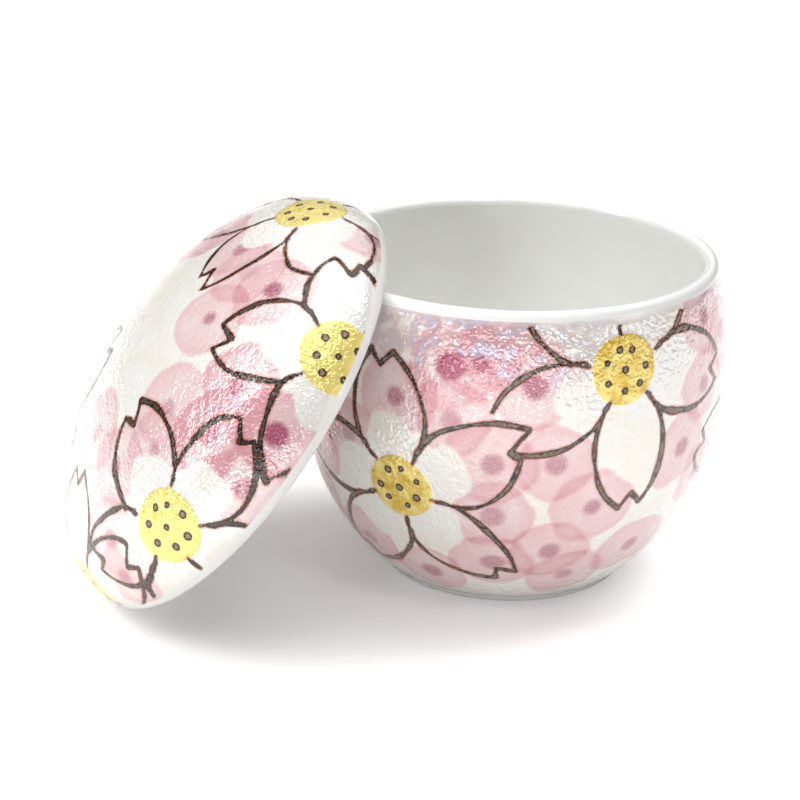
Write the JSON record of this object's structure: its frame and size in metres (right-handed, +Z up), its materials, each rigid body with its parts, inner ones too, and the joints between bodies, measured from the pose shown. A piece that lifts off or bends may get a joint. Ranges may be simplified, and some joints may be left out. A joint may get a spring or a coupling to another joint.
{
  "type": "chawanmushi cup with lid",
  "caption": "Round porcelain cup for steamed custard with a domed loose lid, which is taken off and leans on the cup's rim.",
  "frame": {"origin": "centre of the cup's foot ring, on the table", "axes": "+Z up along the cup's axis; the lid leans on the cup from -X, in the XZ plane"},
  "size_m": [0.1322, 0.09, 0.0755],
  "materials": {
    "cup_glaze": "white glazed porcelain, hand-painted with blossoms under a pearly lustre",
    "lid_glaze": "white glazed porcelain, hand-painted with blossoms under a pearly lustre"
  },
  "bodies": {
    "cup": {"cup": "cup_glaze"},
    "lid": {"lid": "lid_glaze"}
  },
  "joints": [
    {"name": "lid_lift", "type": "slide", "parent": "cup", "child": "lid", "axis": [0, 0, 1], "range_m": [0, 0.08]}
  ]
}
